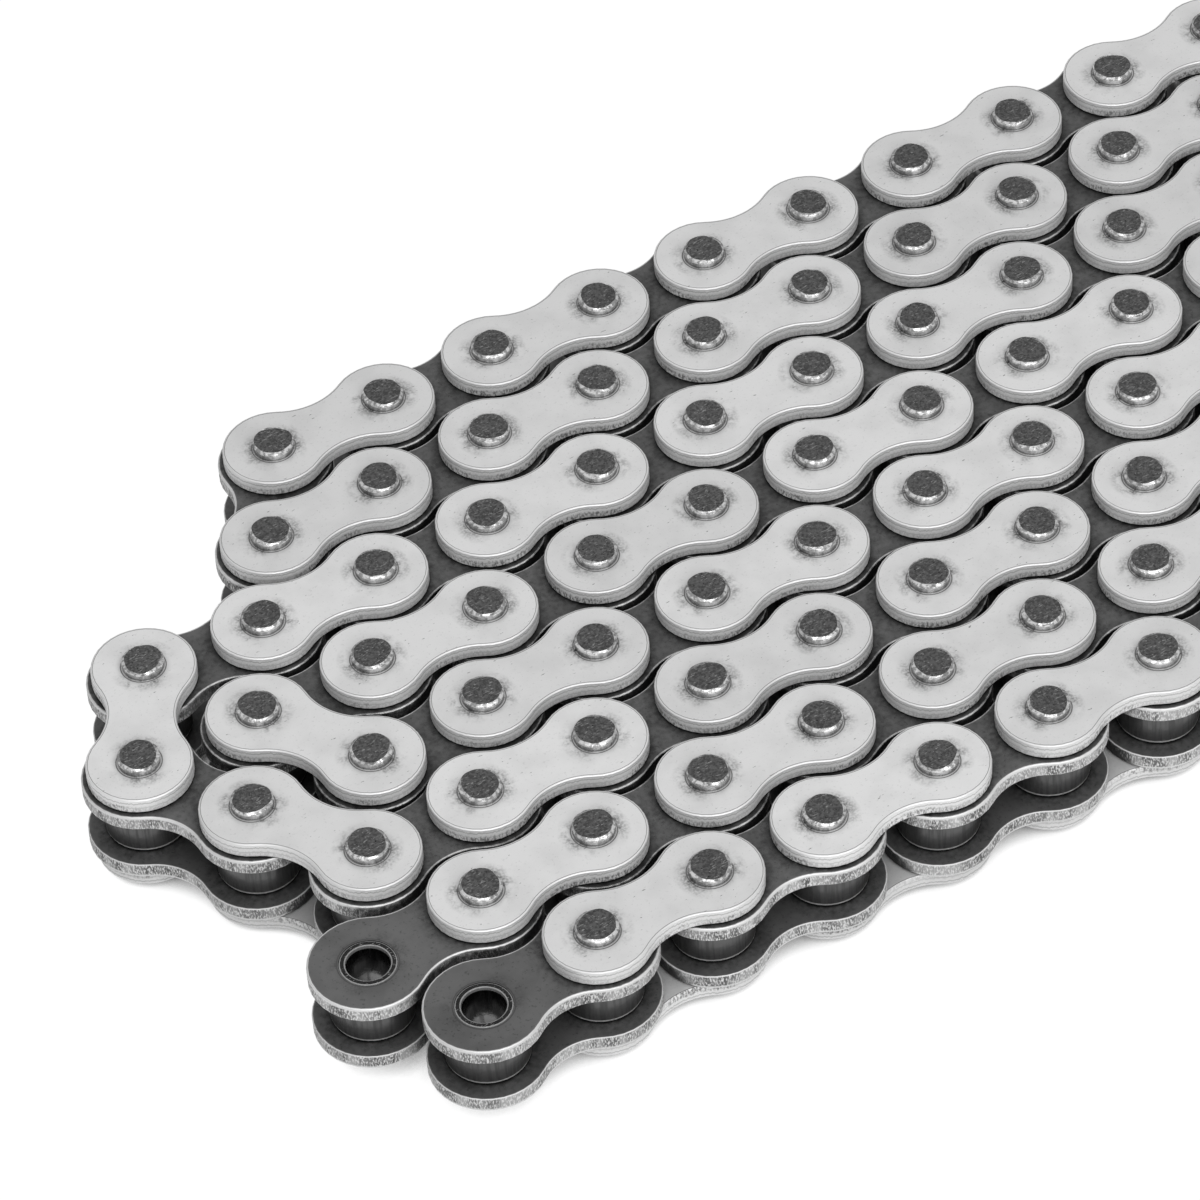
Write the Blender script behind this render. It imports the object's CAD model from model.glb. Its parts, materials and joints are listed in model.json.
# %% [markdown]
# # A motorcycle chain, folded in nested rows
# The chain lies on its side. Bright outer links and dark inner links take turns, pins stand proud of
# the outer plates, and both free ends show the open bush that a connecting link would pass through.
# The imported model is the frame: it says where every piece is and how it moves. This lesson makes
# each piece again with the rounded rims and the finishes of the real one, and puts it in the same place.

# %% Load the frame
import json
import math

import bpy
from mathutils import Matrix, Vector


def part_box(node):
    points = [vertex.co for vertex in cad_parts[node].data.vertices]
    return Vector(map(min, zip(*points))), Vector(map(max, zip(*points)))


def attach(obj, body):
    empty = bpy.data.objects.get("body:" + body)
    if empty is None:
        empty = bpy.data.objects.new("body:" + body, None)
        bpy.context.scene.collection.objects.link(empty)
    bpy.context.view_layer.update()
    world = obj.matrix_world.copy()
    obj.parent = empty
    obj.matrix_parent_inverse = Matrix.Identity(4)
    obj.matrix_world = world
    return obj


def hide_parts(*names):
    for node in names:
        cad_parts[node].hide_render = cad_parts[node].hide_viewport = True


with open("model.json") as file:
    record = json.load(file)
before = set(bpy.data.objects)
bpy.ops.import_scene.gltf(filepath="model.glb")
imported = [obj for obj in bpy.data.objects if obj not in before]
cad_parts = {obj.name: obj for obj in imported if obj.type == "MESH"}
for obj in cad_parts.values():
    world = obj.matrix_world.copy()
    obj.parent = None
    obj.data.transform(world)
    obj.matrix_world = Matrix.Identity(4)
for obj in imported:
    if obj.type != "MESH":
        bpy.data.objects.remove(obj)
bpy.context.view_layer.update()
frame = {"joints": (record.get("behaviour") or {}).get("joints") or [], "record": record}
record = frame["record"]
MM = 0.001

# %% [markdown]
# ## Where the links lie
# A chain is one length of equal steps that only turns at its pins. So the whole lay is a list of runs,
# each a heading and a number of links, and walking along them gives every pin. The pins of the front
# row are hinges of the frame, which gives the pitch and the small tilts beside the folds.

# %% Walk along the chain
REAR_EXTRA_LINKS = 3
FOLD = 60
joint_at = {joint["name"]: Vector(joint["pos_m"]) for joint in frame["joints"]}
front_links = sum(name.endswith("_hinge") for name in joint_at)
rear_links = front_links + REAR_EXTRA_LINKS
first_pin = joint_at["link_01_left_roller_spin"]
front_pins = [first_pin] + [joint_at[f"link_{n:02d}_hinge"] for n in range(1, front_links + 1)]


def heading_between(start, end):
    """Direction in degrees, seen from above, from one pin to the next."""
    way = end - start
    return math.degrees(math.atan2(way.y, way.x))


pitch = (front_pins[1] - front_pins[0]).length
tilt = heading_between(front_pins[0], front_pins[1])
double_tilt = -heading_between(front_pins[-2], front_pins[-1])
runs = [
    (tilt, 2),
    (0, front_links - 3),
    (-double_tilt, 1),
    (FOLD, 2),
    (180 - FOLD, 1),
    (180 + tilt, 1),
    (180, front_links - 2),
    (180 + tilt, 1),
    (180 - FOLD, 1),
    (0, rear_links - 1),
    (-double_tilt, 1),
    (FOLD, 2),
    (180 - FOLD, 1),
    (180 + tilt, 1),
    (180, rear_links - 2),
    (180 + FOLD, 1),
    (tilt, 1),
    (0, rear_links - 3),
    (tilt, 1),
    (180 + FOLD, 1),
    (180, rear_links - 1),
    (180 - double_tilt, 1),
    (180 + FOLD, 1),
    (360 - FOLD, 2),
    (tilt, 1),
    (0, front_links - 2),
    (tilt, 1),
    (180 + FOLD, 1),
    (180, front_links - 2),
    (180 + tilt, 2),
]
headings = [math.radians(heading) for heading, count in runs for _ in range(count)]
pins = [first_pin.copy()]
for heading in headings:
    pins.append(pins[-1] + pitch * Vector((math.cos(heading), math.sin(heading), 0)))
link_count = len(headings)
drift = max((walked - hinge).length for walked, hinge in zip(pins, front_pins))
print(f"{link_count} links of {pitch / MM:.3f} mm, walk off the hinges by {drift / MM:.4f} mm")

# %% [markdown]
# ## Sizes from the frame
# The straight links of the front row lie along X, so their boxes give the heights of the plates, and the
# boxes of one pin, bush and roller give the rest. Only what a box can't tell is written here.

# %% Measure the pieces
BUSH_BORE_RADIUS = 2.65 * MM
ROLLER_CLEARANCE = 0.1 * MM
OUTER_WAIST = 8.4 * MM
INNER_WAIST = 9.8 * MM


def size_of(node):
    """Width, depth and height of a node's box."""
    low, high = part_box(node)
    return high - low


def middle_of(node):
    """Height of the middle of a node above the floor."""
    low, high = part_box(node)
    return (low.z + high.z) / 2


outer_height = size_of("link_04_upper_plate").y
inner_height = size_of("link_05_upper_plate").y
plate_thickness = size_of("link_04_upper_plate").z
pin_radius = size_of("link_04_pins").y / 2
pin_length = size_of("link_04_pins").z
bush_radius = size_of("link_01_end_bush").y / 2
bush_length = size_of("link_01_end_bush").z
roller_radius = size_of("link_05_left_roller").y / 2
roller_length = size_of("link_05_left_roller").z
roller_bore = bush_radius + ROLLER_CLEARANCE
chain_middle = pin_length / 2
plate_level = {
    ("outer_plate", "upper"): middle_of("link_04_upper_plate"),
    ("outer_plate", "lower"): middle_of("link_04_lower_plate"),
    ("inner_plate", "upper"): middle_of("link_05_upper_plate"),
    ("inner_plate", "lower"): middle_of("link_05_lower_plate"),
}
plate_sizes = [f"{size / MM:.2f}" for size in (outer_height, inner_height, plate_thickness)]
print("outer plate, inner plate and thickness in mm:", *plate_sizes)

# %% [markdown]
# ## The plates
# A link plate is punched from strip. The punch rolls the rim round on the side it enters and breaks it
# off sharper on the other. A bevel modifier could round a flat cut-out, but the outline here is all
# arcs, and an arc stays an arc when it is moved inwards. So each ring of the rim is drawn exactly, and
# every point keeps what the finish needs: how far it is from a pin, along the edge and into the edge.

# %% Outline and rings of a plate
END_STEPS = 24
WAIST_STEPS = 7
MIDDLE_STEPS = 4
HALF_STEPS = END_STEPS + 2 * WAIST_STEPS


def arc(centre, radius, start, end, steps):
    """Points on an arc, from start to end in radians, without the last point."""
    turn = (end - start) / steps
    angles = [start + turn * i for i in range(steps)]
    return [(centre[0] + radius * math.cos(a), centre[1] + radius * math.sin(a)) for a in angles]


def plate_ring(height, waist, inset):
    """One ring of a plate's outline, moved in by inset, from the upper waist round the right end first."""
    end_radius = height / 2
    half_waist = waist / 2
    reach = pitch / 2
    squares = reach**2 + half_waist**2 - end_radius**2
    waist_radius = squares / (2 * (end_radius - half_waist))
    waist_y = half_waist + waist_radius
    meet = math.atan2(waist_y, -reach)
    upper = arc((0, waist_y), waist_radius + inset, -math.pi / 2, meet - math.pi, WAIST_STEPS)
    end = arc((reach, 0), end_radius - inset, meet, -meet, END_STEPS)
    lower = arc((0, -waist_y), waist_radius + inset, math.pi - meet, math.pi / 2, WAIST_STEPS)
    right = upper + end + lower
    return right + [(-x, -y) for x, y in right]


def rim_profile(thickness, outer_rim, inner_rim, land, steps):
    """Pairs of inset and height down a plate's edge, from its outer face to its inner face."""
    half = thickness / 2
    profile = [(outer_rim + land, half)]
    for i in range(steps + 1):
        a = math.pi / 2 * i / steps
        profile.append((outer_rim * (1 - math.sin(a)), half - outer_rim * (1 - math.cos(a))))
    profile.append((0, inner_rim - half))
    profile.append((inner_rim, -half))
    profile.append((inner_rim + land, -half))
    return profile


# %% Mesh of a plate
OUTER_RIM = 0.2 * MM
INNER_RIM = 0.1 * MM
RIM_LAND = 0.15 * MM
RIM_STEPS = 4


def set_points(mesh, name, kind, values):
    """Keeps one value for every point of a mesh under a name that a finish can read."""
    mesh.attributes.new(name, kind, "POINT").data.foreach_set("value", values)


def master_object(name, points, faces, crisp=42):
    """A pattern for the pieces laid along the chain. Corners of more than crisp degrees stay sharp."""
    mesh = bpy.data.meshes.new(name)
    mesh.from_pydata(points, [], faces)
    mesh.validate()
    mesh.shade_smooth()
    mesh.set_sharp_from_angle(angle=math.radians(crisp))
    pattern = bpy.data.objects.new(name, mesh)
    bpy.context.scene.collection.objects.link(pattern)
    pattern.hide_render = True
    return pattern


def plate_pattern(name, height, waist, hole_radius):
    """A plate round the origin, its pins at plus and minus half a pitch, its outer face up."""
    points, faces, wall = [], [], []
    round_count = 2 * HALF_STEPS
    profile = rim_profile(plate_thickness, OUTER_RIM, INNER_RIM, RIM_LAND, RIM_STEPS)
    for row, (inset, z) in enumerate(profile):
        points += [(x, y, z) for x, y in plate_ring(height, waist, inset)]
        wall += [0.0 if row in (0, len(profile) - 1) else 1.0] * round_count
    for row in range(len(profile) - 1):
        for i in range(round_count):
            a = row * round_count + i
            b = row * round_count + (i + 1) % round_count
            faces.append((a, b, b + round_count, a + round_count))
    hole_rows = []
    for row in (0, len(profile) - 1):
        first = row * round_count
        z = profile[row][1]
        top, bottom = points[first][1], points[first + HALF_STEPS][1]
        across = []
        for i in range(1, MIDDLE_STEPS):
            across.append(len(points))
            points.append((0, bottom + (top - bottom) * i / MIDDLE_STEPS, z))
            wall.append(0.0)
        right = [first + i for i in range(HALF_STEPS + 1)] + across
        left = [first + HALF_STEPS + i for i in range(HALF_STEPS)] + [first] + across[::-1]
        for side, border in ((1, right), (-1, left)):
            centre = Vector((side * pitch / 2, 0, z))
            hole = []
            for index in border:
                hole.append(len(points))
                points.append(tuple(centre + hole_radius * (Vector(points[index]) - centre).normalized()))
                wall.append(0.0)
            for i in range(len(border)):
                j = (i + 1) % len(border)
                cap = (border[i], border[j], hole[j], hole[i])
                faces.append(cap[::-1] if row == 0 else cap)
            hole_rows.append(hole)
    for upper, lower in zip(hole_rows[:2], hole_rows[2:]):
        for i in range(len(upper)):
            j = (i + 1) % len(upper)
            faces.append((upper[i], upper[j], lower[j], lower[i])[::-1])
    pattern = master_object(name, points, faces)
    reach = [min(math.hypot(x - pitch / 2, y), math.hypot(x + pitch / 2, y)) / MM for x, y, z in points]
    depth = [0.5 - z / plate_thickness for x, y, z in points]
    beside = [((abs(x) - pitch / 2) / MM / max(r, 1)) ** 2 for (x, y, z), r in zip(points, reach)]
    set_points(pattern.data, "reach", "FLOAT", reach)
    set_points(pattern.data, "beside", "FLOAT", beside)
    set_points(pattern.data, "wall", "FLOAT", wall)
    set_points(pattern.data, "depth", "FLOAT", depth)
    return pattern


patterns = {
    "outer_plate": plate_pattern("outer_plate_pattern", outer_height, OUTER_WAIST, pin_radius),
    "inner_plate": plate_pattern("inner_plate_pattern", inner_height, INNER_WAIST, bush_radius),
}
print("faces of a plate:", len(patterns["outer_plate"].data.polygons))

# %% [markdown]
# ## Pins, bushes and rollers
# These are turned or cold-formed and are round about their axis, so each is a profile carried round a
# circle. A pin's end isn't quite round: pressing it into the plate squeezes its rim, so the width
# of its chamfer waves a little, and each pin is turned by another angle when it is laid.

# %% Revolve a profile
ROUND_STEPS = 40


def rounded(corner, into, out, radius, steps=2):
    """Points that round off a right-angled corner, where into and out are unit ways along its sides."""
    made = []
    for i in range(steps + 1):
        a = math.pi / 2 * i / steps
        slide_in = radius * (1 - math.sin(a))
        slide_out = radius * (1 - math.cos(a))
        r = corner[0] - into[0] * slide_in + out[0] * slide_out
        z = corner[1] - into[1] * slide_in + out[1] * slide_out
        made.append((r, z))
    return made


def revolved_pattern(name, profile):
    """A closed profile of radius and height carried round Z."""
    points, faces = [], []
    count = len(profile)
    for step in range(ROUND_STEPS):
        angle = 2 * math.pi * step / ROUND_STEPS
        points += [(r * math.cos(angle), r * math.sin(angle), z) for r, z in profile]
    for step in range(ROUND_STEPS):
        a = step * count
        b = (step + 1) % ROUND_STEPS * count
        for i in range(count):
            j = (i + 1) % count
            faces.append((a + i, b + i, b + j, a + j))
    return master_object(name, points, faces)


# %% Turn the bush and the roller
BUSH_RIM = 0.2 * MM
ROLLER_RIM = 0.35 * MM
ROLLER_BORE_RIM = 0.15 * MM
UP, DOWN, OUT, IN = (0, 1), (0, -1), (1, 0), (-1, 0)


def tube_profile(bore, radius, length, bore_rim, outer_rim):
    """A tube's section with rounded rims, anticlockwise from the foot of its bore."""
    half = length / 2
    section = rounded((bore, -half), DOWN, OUT, bore_rim)
    section += rounded((radius, -half), OUT, UP, outer_rim)
    section += rounded((radius, half), UP, IN, outer_rim)
    section += rounded((bore, half), IN, DOWN, bore_rim)
    return section


bush_section = tube_profile(BUSH_BORE_RADIUS, bush_radius, bush_length, BUSH_RIM, BUSH_RIM)
roller_section = tube_profile(roller_bore, roller_radius, roller_length, ROLLER_BORE_RIM, ROLLER_RIM)
patterns["bush"] = revolved_pattern("bush_pattern", bush_section)
patterns["roller"] = revolved_pattern("roller_pattern", roller_section)
print("points in the sections of bush and roller:", len(bush_section), len(roller_section))

# %% Head the pin
PIN_CHAMFER = 0.28 * MM
PIN_DROP = 0.25 * MM
PIN_WAVE = 0.11 * MM
PIN_CRUMPLE = 0.05 * MM
PIN_DISH = 0.03 * MM
PIN_SOFT = 0.02 * MM
DISH_RINGS = ((0.75, 0.5), (0.35, 1.0))  # shares of the flat's radius and of the dish's depth
PIN_CRISP = 18
# waves round the rim: how many round the pin, how strong and where they begin
WAVES = ((2, 1.0, 0.0), (3, 0.6, 1.0), (7, 0.3, 2.0))
CRUMPLES = ((5, 1.0, 0.5), (3, 0.7, 0.0))


def added_waves(waves, angle):
    """Height of several waves round a pin, added up at one angle."""
    return sum(strong * math.sin(many * angle + begin) for many, strong, begin in waves)


def pin_pattern():
    """A solid pin with a waving, crumpled chamfer and slightly dished ends."""
    half = pin_length / 2
    flat = pin_radius - PIN_CHAMFER
    upper = [
        (pin_radius, half - PIN_DROP - PIN_SOFT),
        (pin_radius - PIN_SOFT / 2, half - PIN_DROP + PIN_SOFT / 2),
        (flat + PIN_SOFT / 2, half - PIN_SOFT / 2),
        (flat - PIN_SOFT, half),
    ]
    upper += [(flat * across, half - PIN_DISH * down) for across, down in DISH_RINGS]
    section = upper[::-1] + [(r, -z) for r, z in upper]
    points = []
    for step in range(ROUND_STEPS):
        angle = 2 * math.pi * step / ROUND_STEPS
        wave = PIN_WAVE * added_waves(WAVES, angle)
        crumple = PIN_CRUMPLE * added_waves(CRUMPLES, angle)
        for r, z in section:
            on_flat = r < pin_radius - PIN_SOFT
            moved = r + wave * (r / flat if on_flat else 0)
            lifted = z + (0 if on_flat else math.copysign(crumple, z))
            points.append((moved * math.cos(angle), moved * math.sin(angle), lifted))
    count = len(section)
    faces = []
    for step in range(ROUND_STEPS):
        a = step * count
        b = (step + 1) % ROUND_STEPS * count
        for i in range(count - 1):
            faces.append((a + i, a + i + 1, b + i + 1, b + i))
    faces.append([step * count for step in range(ROUND_STEPS)])
    faces.append([step * count + count - 1 for step in range(ROUND_STEPS)][::-1])
    return master_object("pin_pattern", points, faces, PIN_CRISP)


patterns["pin"] = pin_pattern()
print({name: len(pattern.data.polygons) for name, pattern in patterns.items()})

# %% [markdown]
# ## Finishes
# Every piece is steel, but each has been made another way, and that is what the eye reads: nickel over
# rolled strip, phosphate on the inner plates, bare ends on the pins. One function turns a colour as it
# is seen into the linear value that a shader needs, and one adds a node with its settings and links.
# Specks are given in millimetres along each axis, so that grit, a nick or a streak has its real size.

# %% Colour and nodes
SHARE, UNDER, OVER = 0, 6, 7  # inputs of a Mix node of colours: how much of the upper, the lower, the upper


def linear(colour):
    """Linear colour of an sRGB hex value."""
    parts = [int(colour[i : i + 2], 16) / 255 for i in (1, 3, 5)]
    return [p / 12.92 if p <= 0.04045 else ((p + 0.055) / 1.055) ** 2.4 for p in parts] + [1]


def add(tree, kind, inputs=None, **settings):
    """Adds a node with its settings, and fills its inputs with values, other nodes or their outputs."""
    made = tree.nodes.new(kind)
    for name, value in settings.items():
        setattr(made, name, value)
    for key, value in (inputs or {}).items():
        if isinstance(value, bpy.types.Node):
            value = next(output for output in value.outputs if output.enabled)
        if isinstance(value, bpy.types.NodeSocket):
            tree.links.new(value, made.inputs[key])
        else:
            made.inputs[key].default_value = value
    return made


# %% An empty finish, its coats and its specks


def new_finish(name):
    """An empty material, its nodes, and the node that gives the place of a point in millimetres."""
    material = bpy.data.materials.new(name)
    material.use_nodes = True
    tree = material.node_tree
    tree.nodes.clear()
    where = add(tree, "ShaderNodeTexCoord").outputs["Object"]
    return material, tree, add(tree, "ShaderNodeVectorMath", {0: where, "Scale": 1 / MM}, operation="SCALE")


def coats(tree, base, laid_over):
    """Colour of a base with other colours laid over it in turn, each by its share."""
    for share, colour in laid_over:
        inputs = {SHARE: share, UNDER: base, OVER: linear(colour) if isinstance(colour, str) else colour}
        base = add(tree, "ShaderNodeMix", inputs, data_type="RGBA")
    return base


def specks(tree, place, sizes, low, high, least=0.0, most=1.0, detail=3.0):
    """Specks of a size in millimetres along each axis, from least at low noise to most at high noise."""
    grid = add(tree, "ShaderNodeVectorMath", {0: place, 1: sizes}, operation="DIVIDE")
    noise = add(tree, "ShaderNodeTexNoise", {"Vector": grid, "Scale": 1.0, "Detail": detail})
    levels = {"Value": noise, "From Min": low, "From Max": high, "To Min": least, "To Max": most}
    return add(tree, "ShaderNodeMapRange", levels, interpolation_type="SMOOTHSTEP")


# %% [markdown]
# ### Punched plates
# A punched edge has two zones. The punch first burnishes a smooth bright band, then the strip tears and
# leaves a rougher one with upright streaks. The faces keep the finish of the strip, with a few nicks, and
# a thin dark line follows the rim where the strip was drawn down. Round each pin a little grease has crept
# out and caught dirt, darkest against the pin, and old grease fills the narrow places between the rows.
# Outer and inner plates share this structure and differ in their coating, so one function makes both.

# %% Wear and grease on the plates
GREASE_LINE = (0.06, 0.16, 0.22, 0.32)  # mm from the pin at which the dark line begins, is full, fades, ends
GREASE_SMEAR = 1.9
GREASE_HAZE = 1.0
CREVICE_REACH = 4 * MM
BLOTCH_SIZE = 0.7


def worn_face(tree, place, face, worn):
    """Colour of a coated face: clouds of wear 5 mm across, grit of 0.4 mm and a few nicks along the strip."""
    clouds = specks(tree, place, (5, 5, 5), 0.35, 0.75, most=0.55)
    grit = specks(tree, place, (0.4, 0.4, 0.4), 0.6, 0.72, most=0.6, detail=2.0)
    nicks = specks(tree, place, (0.9, 0.25, 0.9), 0.72, 0.76, most=0.8, detail=2.0)
    wear = add(tree, "ShaderNodeMath", {0: clouds, 1: grit}, operation="ADD")
    return coats(tree, linear(face), [(wear, worn), (nicks, "#545454")])


def creeping_grease(tree, place, hole, amount):
    """Share of grease: a thin dark line against the pin, patchy smears beside it and a haze all round."""
    reach = add(tree, "ShaderNodeAttribute", attribute_name="reach").outputs["Fac"]
    beside = add(tree, "ShaderNodeAttribute", attribute_name="beside").outputs["Fac"]
    begin, full, fade, end = [hole + distance for distance in GREASE_LINE]
    begins = add(tree, "ShaderNodeMapRange", {"Value": reach, "From Min": begin, "From Max": full})
    ends = add(tree, "ShaderNodeMapRange", {"Value": reach, "From Min": end, "From Max": fade})
    line = add(tree, "ShaderNodeMath", {0: begins, 1: ends}, operation="MULTIPLY")
    smearing = {"Value": reach, "From Min": hole + GREASE_SMEAR, "From Max": hole}
    near = add(tree, "ShaderNodeMapRange", smearing)
    sideways = add(tree, "ShaderNodeMapRange", {"Value": beside, "From Min": 0.05, "From Max": 0.7})
    streaks = specks(tree, place, (0.3, 0.3, 0.3), 0.3, 0.7, least=0.4, most=1.4)
    smear = specks(tree, place, (1.5, 1.5, 1.5), 0.32, 0.62, most=0.85)
    for part in (near, sideways, streaks):
        smear = add(tree, "ShaderNodeMath", {0: smear, 1: part}, operation="MULTIPLY")
    fading = {"Value": reach, "From Min": hole + GREASE_HAZE, "From Max": hole, "To Max": 0.22}
    share = add(tree, "ShaderNodeMapRange", fading, interpolation_type="SMOOTHSTEP")
    for part in (line, smear):
        share = add(tree, "ShaderNodeMath", {0: share, 1: part}, operation="MAXIMUM")
    return add(tree, "ShaderNodeMath", {0: share, 1: amount}, operation="MULTIPLY")


def crevice_dirt(tree, place, amount):
    """Share of old grease in narrow places, where little open room is left within 4 mm, in blotches."""
    room = add(tree, "ShaderNodeAmbientOcclusion", {"Distance": CREVICE_REACH}, samples=8).outputs["AO"]
    blotches = add(tree, "ShaderNodeTexNoise", {"Vector": place, "Scale": 1 / BLOTCH_SIZE, "Detail": 5.0})
    patchy = add(tree, "ShaderNodeMath", {0: blotches, 1: 0.5, 2: room}, operation="MULTIPLY_ADD")
    narrow = {"Value": patchy, "From Min": 1.16, "From Max": 0.6, "To Max": amount}
    return add(tree, "ShaderNodeMapRange", narrow, interpolation_type="SMOOTHSTEP")


# %% Edges of the plates
# where each dark line along a bright edge begins, is full, ends and fades in the depth, and its strength
ROLL_LINE = (0.34, 0.4, 0.5, 0.42, 0.5)
BREAK_LINE = (0.7, 0.78, 0.84, 0.78, 0.4)


def bright_edge(tree, place, depth):
    """Burnished band above a wavy break and a torn band, rougher on some plates: share of tear, colour."""
    grid = add(tree, "ShaderNodeVectorMath", {0: place, 1: (0.35, 0.35, 2.1)}, operation="DIVIDE")
    streaks = add(tree, "ShaderNodeTexNoise", {"Vector": grid, "Scale": 1.0, "Detail": 3.0})
    wavy = add(tree, "ShaderNodeMath", {0: streaks, 1: 0.3, 2: depth}, operation="MULTIPLY_ADD")
    torn = specks(tree, place, (0.25, 0.25, 0.5), 0.42, 0.62, most=0.9)
    below = add(tree, "ShaderNodeMapRange", {"Value": wavy, "From Min": 0.58, "From Max": 0.74})
    deep_tear = specks(tree, place, (9, 9, 9), 0.46, 0.6, least=0.3)
    for part in (below, deep_tear):
        torn = add(tree, "ShaderNodeMath", {0: torn, 1: part}, operation="MULTIPLY")
    for begin, full, end, fade, most in (ROLL_LINE, BREAK_LINE):
        growing = {"Value": wavy, "From Min": begin, "From Max": full, "To Max": most}
        begins = add(tree, "ShaderNodeMapRange", growing)
        ends = add(tree, "ShaderNodeMapRange", {"Value": wavy, "From Min": end, "From Max": fade})
        line = add(tree, "ShaderNodeMath", {0: begins, 1: ends}, operation="MULTIPLY")
        torn = add(tree, "ShaderNodeMath", {0: torn, 1: line}, operation="MAXIMUM")
    return torn, coats(tree, linear("#E0E0E0"), [(torn, "#707070")])


def streaked_edge(tree, place, depth):
    """Bright sheared steel broken up all over by fine upright streaks: share of tear, colour.

    The real streaks are about 0.05 mm wide. They are drawn at 0.16 mm, so that they show.
    """
    torn = specks(tree, place, (0.16, 0.16, 0.48), 0.34, 0.56, detail=2.0)
    broad = specks(tree, place, (1.6, 1.6, 8.0), 0.35, 0.65, least=0.5)
    begins = add(tree, "ShaderNodeMapRange", {"Value": depth, "From Min": 0.12, "From Max": 0.22})
    ends = add(tree, "ShaderNodeMapRange", {"Value": depth, "From Min": 0.98, "From Max": 0.92})
    for part in (broad, begins, ends):
        torn = add(tree, "ShaderNodeMath", {0: torn, 1: part}, operation="MULTIPLY")
    return torn, coats(tree, linear("#DADADA"), [(torn, "#545454")])


# %% Finish of the plates
PLATE_METALLIC = 0.45
SHEARED_METALLIC = 0.09
PLATE_ROUGHNESS = 0.42
GRAIN_SIZE = 0.6
GRAIN_HEIGHT = 0.009 * MM
TEAR_HEIGHT = -3.3  # in heights of the grain


def finish_plate(name, face, worn, edge, hole, grease, dirt):
    """Coated strip with a punched edge, whose colour another function makes."""
    material, tree, place = new_finish(name)
    wall = add(tree, "ShaderNodeAttribute", attribute_name="wall").outputs["Fac"]
    depth = add(tree, "ShaderNodeAttribute", attribute_name="depth").outputs["Fac"]
    tone = add(tree, "ShaderNodeAttribute", attribute_name="tone").outputs["Fac"]
    torn, edge_colour = edge(tree, place, depth)
    drawn_down = {"Value": wall, "From Min": 0.1, "From Max": 0.45, "To Max": 0.8}
    fold_begins = add(tree, "ShaderNodeMapRange", drawn_down)
    fold_ends = add(tree, "ShaderNodeMapRange", {"Value": wall, "From Min": 0.9, "From Max": 0.55})
    fold = add(tree, "ShaderNodeMath", {0: fold_begins, 1: fold_ends}, operation="MULTIPLY")
    laid_over = [
        (creeping_grease(tree, place, hole, grease), "#262626"),
        (wall, edge_colour),
        (fold, "#2A2A2A"),
        (crevice_dirt(tree, place, dirt), "#0E0E0E"),
    ]
    colour = coats(tree, worn_face(tree, place, face, worn), laid_over)
    light = add(tree, "ShaderNodeMapRange", {"Value": tone, "To Min": 0.95, "To Max": 1.05})
    shade = add(tree, "ShaderNodeHueSaturation", {"Color": colour, "Value": light})

    # below its rolled rim a sheared edge scatters light more than the faces do, and most where it is torn
    below_rim = add(tree, "ShaderNodeMapRange", {"Value": depth, "From Min": 0.1, "From Max": 0.17})
    sheared = add(tree, "ShaderNodeMath", {0: wall, 1: below_rim}, operation="MULTIPLY")
    metallic = {"Value": sheared, "To Min": PLATE_METALLIC, "To Max": SHEARED_METALLIC}
    torn_wall = add(tree, "ShaderNodeMath", {0: wall, 1: torn}, operation="MULTIPLY")
    grain = add(tree, "ShaderNodeTexNoise", {"Vector": place, "Scale": 1 / GRAIN_SIZE, "Detail": 2.0})
    rough = add(tree, "ShaderNodeMath", {0: torn_wall, 1: 0.15, 2: PLATE_ROUGHNESS}, operation="MULTIPLY_ADD")
    relief = add(tree, "ShaderNodeMath", {0: torn_wall, 1: TEAR_HEIGHT, 2: grain}, operation="MULTIPLY_ADD")
    surface = {
        "Base Color": shade,
        "Metallic": add(tree, "ShaderNodeMapRange", metallic),
        "Roughness": add(tree, "ShaderNodeMath", {0: grain, 1: 0.1, 2: rough}, operation="MULTIPLY_ADD"),
        "Normal": add(tree, "ShaderNodeBump", {"Strength": 0.4, "Distance": GRAIN_HEIGHT, "Height": relief}),
    }
    add(tree, "ShaderNodeOutputMaterial", {"Surface": add(tree, "ShaderNodeBsdfPrincipled", surface)})
    return material


pin_hole, bush_hole = pin_radius / MM, bush_radius / MM
finishes = {
    # nickel over rolled strip: pale and softly shining, with a white line along the rolled rim
    "outer_plate": finish_plate(
        "nickel_plated_strip_steel", "#EAEAEA", "#D8D8D8", bright_edge, pin_hole, grease=0.85, dirt=0.14
    ),
    # phosphate: an even dark grey that takes up oil, cut through at the bright sheared edge
    "inner_plate": finish_plate(
        "phosphated_strip_steel", "#6A6A6A", "#4A4A4A", streaked_edge, bush_hole, grease=0.6, dirt=1.0
    ),
}
print("plate finishes:", [material.name for material in finishes.values()])

# %% [markdown]
# ### Round pieces
# A pin's end is bare steel, blotched by heat treatment and handling, and its pressed rim and shank are
# bright and chipped. A bush is dark inside and ground only on its rims. A roller is rolled from strip,
# hardened dark and then polished by its own work, with fine marks along its axis.

# %% Finish of pins, bushes and rollers
WORN_RIM = 0.5
WORN_RIM_FADE = 0.1
RIM_METALLIC_SHARE = 0.6
CHIP_HEIGHT = 0.05 * MM


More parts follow.
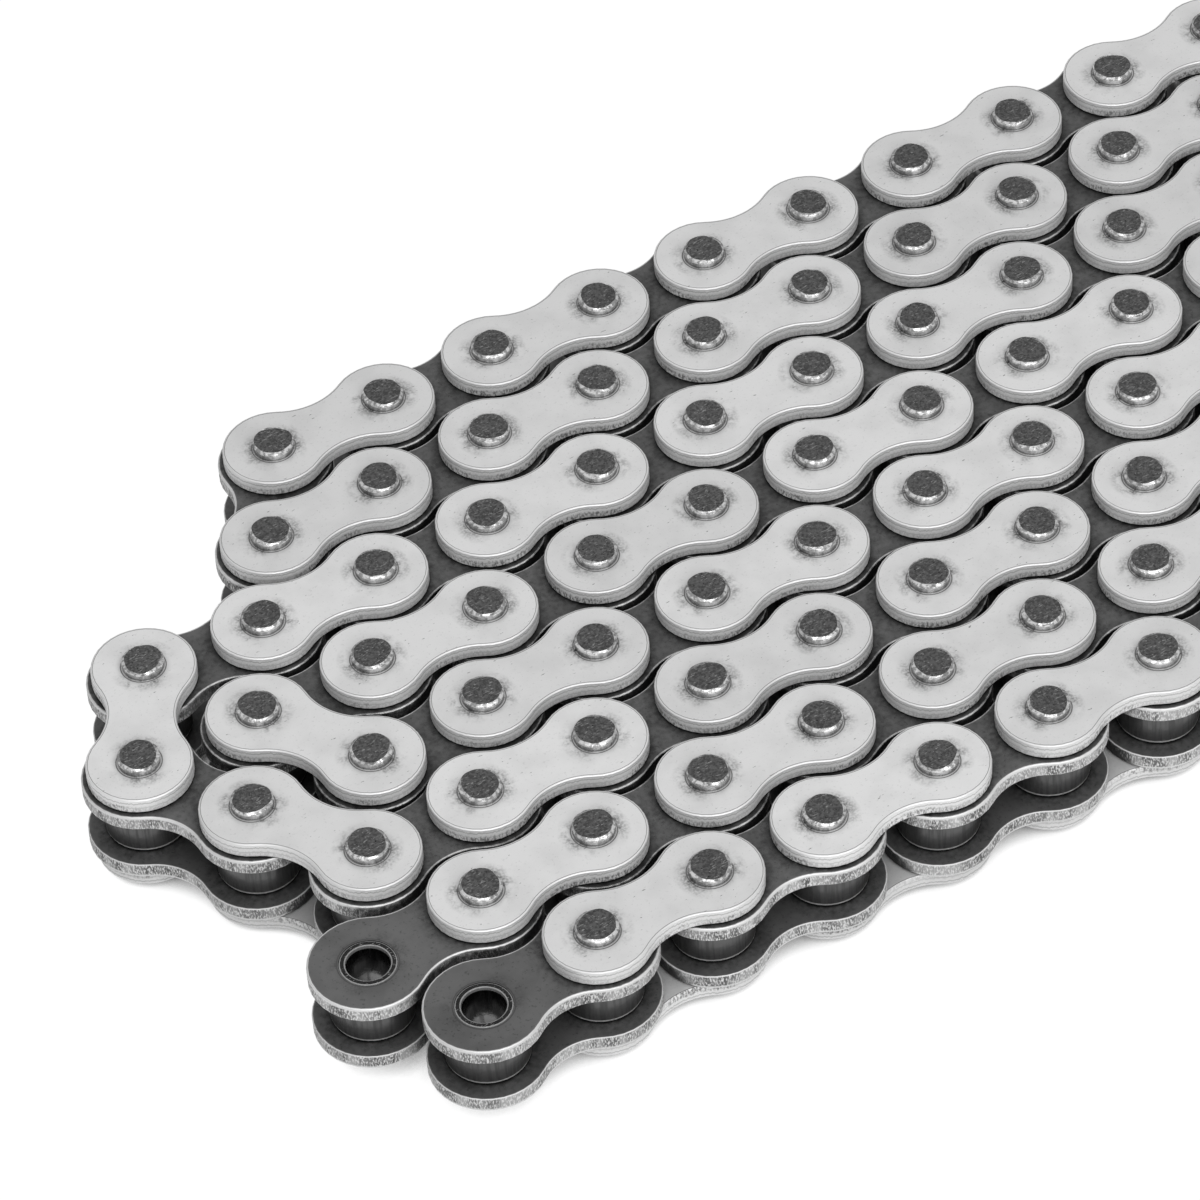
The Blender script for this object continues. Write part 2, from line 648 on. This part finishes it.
def finish_round(name, colours, length, mark_sizes, end_mark, chips, metal, roughness):
    """Hardened steel: colours of the side, its marks, the rims, the ends and the marks on the ends.

    The marks on the side have sizes in millimetres and those on the ends one size. Chips break up the
    light on the surface, and most of all on the rims, which wear bright as far as half a millimetre in.
    """
    material, tree, place = new_finish(name)
    side, side_mark, rim, end, end_colour = colours
    normal = add(tree, "ShaderNodeNewGeometry").outputs["True Normal"]
    rise = add(tree, "ShaderNodeSeparateXYZ", {0: normal}).outputs["Z"]
    level = add(tree, "ShaderNodeMath", {0: rise}, operation="ABSOLUTE")
    on_rim = add(tree, "ShaderNodeMapRange", {"Value": level, "From Min": 0.25, "From Max": 0.35})
    height = add(tree, "ShaderNodeSeparateXYZ", {0: place}).outputs["Z"]
    above = add(tree, "ShaderNodeMath", {0: height, 1: chain_middle / MM}, operation="SUBTRACT")
    from_middle = add(tree, "ShaderNodeMath", {0: above}, operation="ABSOLUTE")
    inwards = length / 2 / MM - WORN_RIM
    worn = {"Value": from_middle, "From Min": inwards, "From Max": inwards + WORN_RIM_FADE}
    near_rim = add(tree, "ShaderNodeMapRange", worn)
    on_rim = add(tree, "ShaderNodeMath", {0: on_rim, 1: near_rim}, operation="MAXIMUM")
    on_end = add(tree, "ShaderNodeMapRange", {"Value": level, "From Min": 0.92, "From Max": 0.97})
    marks = specks(tree, place, mark_sizes, 0.4, 0.65)
    chipped = specks(tree, place, (0.5, 0.5, 0.5), 0.44, 0.56, most=chips, detail=3.0)
    rim_chips = add(tree, "ShaderNodeMath", {0: on_rim, 1: chipped}, operation="MULTIPLY")
    end_marks = specks(tree, place, (end_mark,) * 3, 0.4, 0.62, detail=4.0)
    pits = specks(tree, place, (0.3, 0.3, 0.3), 0.64, 0.72, detail=2.0)
    dashes = specks(tree, place, (0.6, 0.14, 0.6), 0.62, 0.68, most=0.8, detail=2.0)
    end_face = coats(tree, linear(end), [(end_marks, end_colour), (pits, "#181818"), (dashes, "#A0A0A0")])
    laid_over = [(marks, side_mark), (on_rim, rim), (rim_chips, "#4A4A4A"), (on_end, end_face)]
    metallic = {"Value": on_rim, "To Min": metal, "To Max": metal * RIM_METALLIC_SHARE}
    surface = {
        "Base Color": coats(tree, linear(side), laid_over),
        "Metallic": add(tree, "ShaderNodeMapRange", metallic),
        "Roughness": add(tree, "ShaderNodeMath", {0: marks, 1: 0.14, 2: roughness}, operation="MULTIPLY_ADD"),
        "Normal": add(tree, "ShaderNodeBump", {"Strength": 0.4, "Distance": CHIP_HEIGHT, "Height": chipped}),
    }
    add(tree, "ShaderNodeOutputMaterial", {"Surface": add(tree, "ShaderNodeBsdfPrincipled", surface)})
    return material


# a hardened pin: a bright shank and rim, and a dull blotched end
pin_colours = ("#A6A6A6", "#848484", "#DADADA", "#5E5E5E", "#424242")
pin_marks = (0.8, 0.8, 2.4)
finishes["pin"] = finish_round(
    "hardened_pin_steel",
    pin_colours,
    pin_length,
    pin_marks,
    end_mark=0.32,
    chips=0.6,
    metal=1.0,
    roughness=0.14,
)
# a ground bush: dark and glossy inside, with a thin bright rim
bush_colours = ("#7A7A7A", "#585858", "#A4A4A4", "#242424", "#1A1A1A")
bush_marks = (0.8, 0.8, 6.4)
finishes["bush"] = finish_round(
    "ground_bush_steel",
    bush_colours,
    bush_length,
    bush_marks,
    end_mark=0.8,
    chips=0.15,
    metal=1.0,
    roughness=0.16,
)
# a hardened roller: dark, streaked along its axis, with rims worn bright
roller_colours = ("#606060", "#505050", "#DCDCDC", "#606060", "#484848")
roller_marks = (0.5, 0.5, 6.0)
finishes["roller"] = finish_round(
    "hardened_roller_steel",
    roller_colours,
    roller_length,
    roller_marks,
    end_mark=0.8,
    chips=0.2,
    metal=0.7,
    roughness=0.3,
)
print("finishes:", [material.name for material in finishes.values()])

# %% [markdown]
# ## Laying the pieces along the chain
# Every link repeats the same few pieces, so one Geometry Nodes tree lays a pattern on points. Each point
# carries a heading, and a lower plate is tipped over so that its rolled rim faces down. Each copy
# gets a shade of its own, and pins also a turn of their own, from a fixed seed. The tree ends in real
# geometry with its finish, so that the result can be kept as a plain mesh.

# %% The laying tree


def laying_tree():
    """Nodes that put a pattern on every point, and the identifiers of the tree's inputs by name."""
    tree = bpy.data.node_groups.new("pieces_along_the_chain", "GeometryNodeTree")
    kinds = {
        "Places": "NodeSocketGeometry",
        "Pattern": "NodeSocketObject",
        "Finish": "NodeSocketMaterial",
        "Turn": "NodeSocketFloat",
        "Seed": "NodeSocketInt",
    }
    sockets = {
        name: tree.interface.new_socket(name=name, in_out="INPUT", socket_type=kind).identifier
        for name, kind in kinds.items()
    }
    tree.interface.new_socket(name="Pieces", in_out="OUTPUT", socket_type="NodeSocketGeometry")
    given = add(tree, "NodeGroupInput").outputs
    heading = add(tree, "GeometryNodeInputNamedAttribute", {"Name": "heading"}, data_type="FLOAT")
    tip = add(tree, "GeometryNodeInputNamedAttribute", {"Name": "tip"}, data_type="FLOAT")
    number = add(tree, "GeometryNodeInputNamedAttribute", {"Name": "number"}, data_type="INT")
    turn = add(
        tree,
        "FunctionNodeRandomValue",
        {"Min": 0.0, "Max": given["Turn"], "ID": number, "Seed": given["Seed"]},
        data_type="FLOAT",
    )
    turned = add(tree, "ShaderNodeMath", {0: heading, 1: turn}, operation="ADD")
    angles = add(tree, "ShaderNodeCombineXYZ", {"X": tip, "Z": turned})
    rotation = add(tree, "FunctionNodeEulerToRotation", {0: angles})
    pattern = add(tree, "GeometryNodeObjectInfo", {"Object": given["Pattern"], "As Instance": True})
    laid = add(
        tree,
        "GeometryNodeInstanceOnPoints",
        {"Points": given["Places"], "Instance": pattern.outputs["Geometry"], "Rotation": rotation},
    )
    tone = add(
        tree,
        "FunctionNodeRandomValue",
        {"Min": 0.0, "Max": 1.0, "ID": number, "Seed": given["Seed"]},
        data_type="FLOAT",
    )
    shaded = add(
        tree,
        "GeometryNodeStoreNamedAttribute",
        {"Geometry": laid, "Name": "tone", "Value": tone},
        data_type="FLOAT",
        domain="INSTANCE",
    )
    real = add(tree, "GeometryNodeRealizeInstances", {"Geometry": shaded})
    covered = add(tree, "GeometryNodeSetMaterial", {"Geometry": real, "Material": given["Finish"]})
    add(tree, "NodeGroupOutput", {"Pieces": covered})
    return tree, sockets


laying, laying_inputs = laying_tree()

# %% Places of a node's pieces


def link_middle(n, slot, side):
    """Place of one plate of link n: point, heading, tip and a number of its own."""
    point = (pins[n - 1] + pins[n]) / 2
    point.z = plate_level[slot, side]
    return point, headings[n - 1], 0.0 if side == "upper" else math.pi, 2 * n + (side == "upper")


def pin_place(n):
    """Place of a round piece on pin n."""
    point = pins[n].copy()
    point.z = chain_middle
    return point, 0.0, 0.0, n


def places_of(node, slot):
    """Where the pieces of a node lie. Odd links are inner ones, and link n lies between pins n - 1 and n."""
    if node.startswith("folded"):
        odd = slot in ("inner_plate", "bush", "roller")
        links = [n for n in range(front_links + 1, link_count + 1) if n % 2 == odd]
        if slot.endswith("plate"):
            return [link_middle(n, slot, side) for n in links for side in ("upper", "lower")]
        if node == "folded_end_bush":
            return [pin_place(link_count)]
        on_pins = [pin for n in links for pin in (n - 1, n)]
        return [pin_place(pin) for pin in on_pins if node != "folded_bushes" or pin < link_count]
    n = int(node[5:7])
    part = node[8:]
    if part.endswith("plate"):
        return [link_middle(n, slot, part.split("_")[0])]
    ends = {"left_roller": [n - 1], "end_bush": [n - 1], "right_roller": [n], "bush": [n]}
    return [pin_place(pin) for pin in ends.get(part, [n - 1, n])]


# %% Lay every piece
PIECE_SEED = 7


def lay(name, slot, places):
    """One plain mesh object of a pattern laid on places."""
    mesh = bpy.data.meshes.new(name + "_places")
    mesh.from_pydata([place[0] for place in places], [], [])
    set_points(mesh, "heading", "FLOAT", [place[1] for place in places])
    set_points(mesh, "tip", "FLOAT", [place[2] for place in places])
    set_points(mesh, "number", "INT", [place[3] for place in places])
    piece = bpy.data.objects.new(name, mesh)
    bpy.context.scene.collection.objects.link(piece)
    modifier = piece.modifiers.new("lay", "NODES")
    modifier.node_group = laying
    modifier[laying_inputs["Pattern"]] = patterns[slot]
    modifier[laying_inputs["Finish"]] = finishes[slot]
    modifier[laying_inputs["Turn"]] = 2 * math.pi if slot in ("pin", "roller") else 0.0
    modifier[laying_inputs["Seed"]] = PIECE_SEED
    graph = bpy.context.evaluated_depsgraph_get()
    made = piece.evaluated_get(graph)
    laid = bpy.data.meshes.new_from_object(made, preserve_all_data_layers=True, depsgraph=graph)
    piece.modifiers.remove(modifier)
    piece.data = laid
    laid.name = name
    bpy.data.meshes.remove(mesh)
    return piece


body_of_node = {node: body for body, nodes in record["behaviour"]["bodies"].items() for node in nodes}
triangles = {}
for subpart in record["subparts"]:
    node, slot = subpart["node"], subpart["material_slot"]
    piece = lay("fine_" + node, slot, places_of(node, slot))
    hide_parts(node)
    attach(piece, body_of_node[node])
    triangles[piece.name] = sum(len(face.vertices) - 2 for face in piece.data.polygons)
for pattern in patterns.values():
    bpy.data.objects.remove(pattern)
print("triangles:", sum(triangles.values()), "most in one piece:", max(triangles.values()))

# %% [markdown]
# ## Floor, light and camera
# The photograph is a studio cut-out on white. A pale floor keeps a soft shadow, and to the camera and to
# reflections the floor is white. The sky lights from all round, brightest overhead, and one large lamp
# beside and above the viewer lights the edges and draws the bright lines along the rolled rims.

# %% Floor
FLOOR_SIZE = 6.0
SHADOW_SHARE = 0.07
SHADOW_REACH = 12 * MM
FLOOR_GLOW = 1.06


def floor_finish():
    """Pale paper that the camera sees as white, with a share of its own shading left for the shadow.

    From below it can be seen through, so that the underside of the chain can be looked at.
    """
    material = bpy.data.materials.new("pale_studio_paper")
    material.use_nodes = True
    tree = material.node_tree
    tree.nodes.clear()
    paper = add(tree, "ShaderNodeBsdfDiffuse", {"Color": linear("#FAFAFA")})
    open_sky = add(tree, "ShaderNodeAmbientOcclusion", {"Distance": SHADOW_REACH}, samples=16).outputs["AO"]
    glow = {"Value": open_sky, "From Min": 0.05, "From Max": 0.36, "To Max": FLOOR_GLOW}
    strength = add(tree, "ShaderNodeMapRange", glow)
    white = add(tree, "ShaderNodeEmission", {"Color": linear("#FFFFFF"), "Strength": strength})
    path = add(tree, "ShaderNodeLightPath").outputs
    seen = path["Is Camera Ray"]
    for ray in ("Is Glossy Ray", "Is Transmission Ray"):
        seen = add(tree, "ShaderNodeMath", {0: seen, 1: path[ray]}, operation="MAXIMUM")
    share = add(tree, "ShaderNodeMath", {0: seen, 1: 1 - SHADOW_SHARE}, operation="MULTIPLY")
    mixed = add(tree, "ShaderNodeMixShader", {0: share, 1: paper, 2: white})
    below = add(tree, "ShaderNodeNewGeometry").outputs["Backfacing"]
    clear = add(tree, "ShaderNodeBsdfTransparent")
    sided = add(tree, "ShaderNodeMixShader", {0: below, 1: mixed, 2: clear})
    add(tree, "ShaderNodeOutputMaterial", {"Surface": sided})
    return material


floor_mesh = bpy.data.meshes.new("floor")
half_floor = FLOOR_SIZE / 2
corners = [(x * half_floor, y * half_floor, 0) for x, y in ((-1, -1), (1, -1), (1, 1), (-1, 1))]
floor_mesh.from_pydata(corners, [], [(0, 1, 2, 3)])
floor_mesh.materials.append(floor_finish())
floor = bpy.data.objects.new("floor", floor_mesh)
bpy.context.scene.collection.objects.link(floor)
print("floor:", FLOOR_SIZE, "m, of", floor_mesh.materials[0].name)

# %% Sky
SKY_HORIZON = 0.2
SKY_TOP = 0.8
SKY_FILL = 0.4
FULL_GLOW_HEIGHT = 0.75

world = bpy.data.worlds.new("studio")
bpy.context.scene.world = world
world.use_nodes = True
sky = world.node_tree
sky.nodes.clear()
direction = add(sky, "ShaderNodeTexCoord").outputs["Generated"]
up = add(sky, "ShaderNodeSeparateXYZ", {0: direction}).outputs["Z"]
levels = {"Value": up, "From Max": FULL_GLOW_HEIGHT, "To Min": SKY_HORIZON, "To Max": SKY_TOP}
glow = add(sky, "ShaderNodeMapRange", levels)
fill = add(sky, "ShaderNodeMath", {0: glow, 1: SKY_FILL}, operation="MULTIPLY")
path = add(sky, "ShaderNodeLightPath").outputs
rays = {0: path["Is Glossy Ray"], 1: path["Is Transmission Ray"]}
mirrored = add(sky, "ShaderNodeMath", rays, operation="MAXIMUM")
lit = add(sky, "ShaderNodeMapRange", {"Value": mirrored, "To Min": fill, "To Max": glow})
strength = add(sky, "ShaderNodeMapRange", {"Value": path["Is Camera Ray"], "To Min": lit, "To Max": 1.0})
background = add(sky, "ShaderNodeBackground", {"Color": linear("#FFFFFF"), "Strength": strength})
add(sky, "ShaderNodeOutputWorld", {"Surface": background})
bpy.context.scene.view_settings.view_transform = "Standard"
print("sky from", SKY_HORIZON, "to", SKY_TOP)

# %% Lamp
TARGET = Vector((-75.6, -1.0, 17.2)) * MM
LAMP_AZIMUTH = math.radians(12)
LAMP_ELEVATION = math.radians(50)
LAMP_DISTANCE = 0.9
LAMP_SIZE = 1.0
LAMP_POWER = 8.0


def looking(azimuth, elevation):
    """Unit way of a look that turns to the right of +Y by azimuth and down by elevation."""
    flat = math.cos(elevation)
    return Vector((math.sin(azimuth) * flat, math.cos(azimuth) * flat, -math.sin(elevation)))


light = bpy.data.lights.new("soft_lamp", "AREA")
light.size = LAMP_SIZE
light.energy = LAMP_POWER
lamp = bpy.data.objects.new("soft_lamp", light)
beam = looking(LAMP_AZIMUTH, LAMP_ELEVATION)
lamp.location = TARGET - beam * LAMP_DISTANCE
lamp.rotation_euler = beam.to_track_quat("-Z", "Y").to_euler()
bpy.context.scene.collection.objects.link(lamp)
print("lamp at", [round(x, 3) for x in lamp.location])

# %% Camera
VIEW_AZIMUTH = math.radians(28.3)
VIEW_ELEVATION = math.radians(45.5)
VIEW_ROLL = math.radians(3.9)
VIEW_DISTANCE = 0.767
LENS, SENSOR = 189.0, 36.0

camera_data = bpy.data.cameras.new("camera")
camera_data.lens = LENS
camera_data.sensor_width = SENSOR
camera_data.clip_start = 0.01
camera = bpy.data.objects.new("camera", camera_data)
forward = looking(VIEW_AZIMUTH, VIEW_ELEVATION)
level = Vector((math.cos(VIEW_AZIMUTH), -math.sin(VIEW_AZIMUTH), 0))
upward = level.cross(forward)
right = math.cos(VIEW_ROLL) * level - math.sin(VIEW_ROLL) * upward
top = math.sin(VIEW_ROLL) * level + math.cos(VIEW_ROLL) * upward
turn = Matrix((right, top, -forward)).transposed().to_4x4()
camera.matrix_world = Matrix.Translation(TARGET - forward * VIEW_DISTANCE) @ turn
bpy.context.scene.collection.objects.link(camera)
bpy.context.scene.camera = camera
print("camera at", [round(x, 3) for x in camera.matrix_world.translation])
